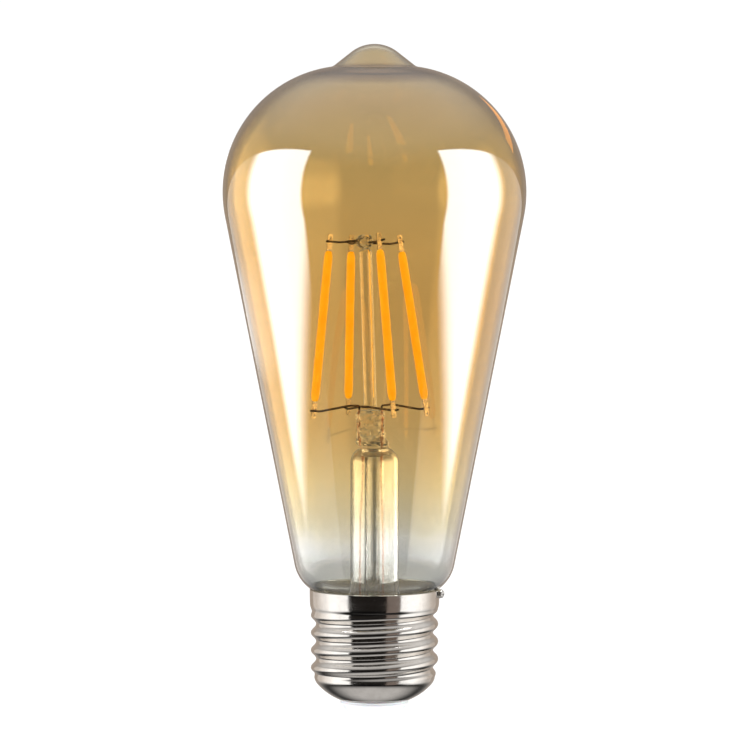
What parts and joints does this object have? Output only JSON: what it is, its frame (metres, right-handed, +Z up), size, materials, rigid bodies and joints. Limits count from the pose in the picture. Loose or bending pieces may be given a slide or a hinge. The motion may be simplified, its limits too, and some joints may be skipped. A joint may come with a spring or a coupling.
{
  "type": "smart light bulb",
  "caption": "Teardrop amber-glass light bulb with upright LED filaments on a glass stem, and a standard screw cap that holds its driver and radio.",
  "frame": {"origin": "centre of the centre contact's flat face, the lowest point of the lamp", "axes": "+Z up the lamp's axis from the contact to the glass tip; +X to the right as seen by the camera, towards the side solder joint; +Y away from the camera"},
  "size_m": [0.0624, 0.0624, 0.1391],
  "materials": {
    "amber_glass": "clear glass with a thin amber coat that fades out above the neck",
    "clear_glass": "fire-polished clear glass",
    "nickel_plate": "bright nickel plate",
    "contact_metal": "nickel plate, turned rings",
    "solder": "soft solder, slightly lumpy",
    "white_insulator": "smooth white moulding",
    "cement": "cured cream resin",
    "support_wire": "drawn nickel-iron wire, slightly oxidised",
    "seal_wire": "copper-clad sealing wire, oxide red",
    "copper_lead": "drawn copper wire",
    "phosphor_coat": "silicone with phosphor, satin",
    "filament_carrier": "sintered white ceramic strip",
    "led_chip": "polished die",
    "filament_tab": "stamped plated strip",
    "circuit_board": "green solder mask",
    "black_epoxy": "moulded epoxy",
    "capacitor_sleeve": "shrunk plastic sleeve",
    "ferrite": "pressed ferrite",
    "enamel_copper": "enamelled copper wire",
    "resistor_coat": "lacquer over a ceramic core",
    "radio_board": "blue solder mask",
    "shield_tin": "tinned sheet",
    "tinned_wire": "tinned wire",
    "sleeve_plastic": "moulded sleeve"
  },
  "bodies": {
    "root": {"glass_envelope": "amber_glass", "screw_shell": "nickel_plate", "cap_insulator": "white_insulator", "center_contact": "contact_metal", "side_solder": "solder", "basing_cement": "cement", "stem_flare_tube": "clear_glass", "exhaust_tube": "clear_glass", "stem_pinch": "clear_glass", "glass_post": "clear_glass", "post_bead": "clear_glass", "lead_wire_left": "support_wire", "lead_wire_right": "support_wire", "seal_wire_left": "seal_wire", "seal_wire_right": "seal_wire", "outer_lead_left": "copper_lead", "outer_lead_right": "copper_lead", "bottom_jumper_wire": "support_wire", "top_wire_left": "support_wire", "top_wire_right": "support_wire", "filament_1_coat": "phosphor_coat", "filament_1_carrier": "filament_carrier", "filament_1_chips": "led_chip", "filament_1_end_tabs": "filament_tab", "filament_2_coat": "phosphor_coat", "filament_2_carrier": "filament_carrier", "filament_2_chips": "led_chip", "filament_2_end_tabs": "filament_tab", "filament_3_coat": "phosphor_coat", "filament_3_carrier": "filament_carrier", "filament_3_chips": "led_chip", "filament_3_end_tabs": "filament_tab", "filament_4_coat": "phosphor_coat", "filament_4_carrier": "filament_carrier", "filament_4_chips": "led_chip", "filament_4_end_tabs": "filament_tab", "driver_board": "circuit_board", "bridge_rectifier": "black_epoxy", "driver_chip": "black_epoxy", "bulk_capacitor": "capacitor_sleeve", "choke_core": "ferrite", "choke_winding": "enamel_copper", "fusible_resistor": "resistor_coat", "radio_board": "radio_board", "radio_shield": "shield_tin", "antenna_wire": "tinned_wire", "contact_lead": "tinned_wire", "shell_lead": "tinned_wire", "insulating_sleeve": "sleeve_plastic"}
  },
  "joints": []
}
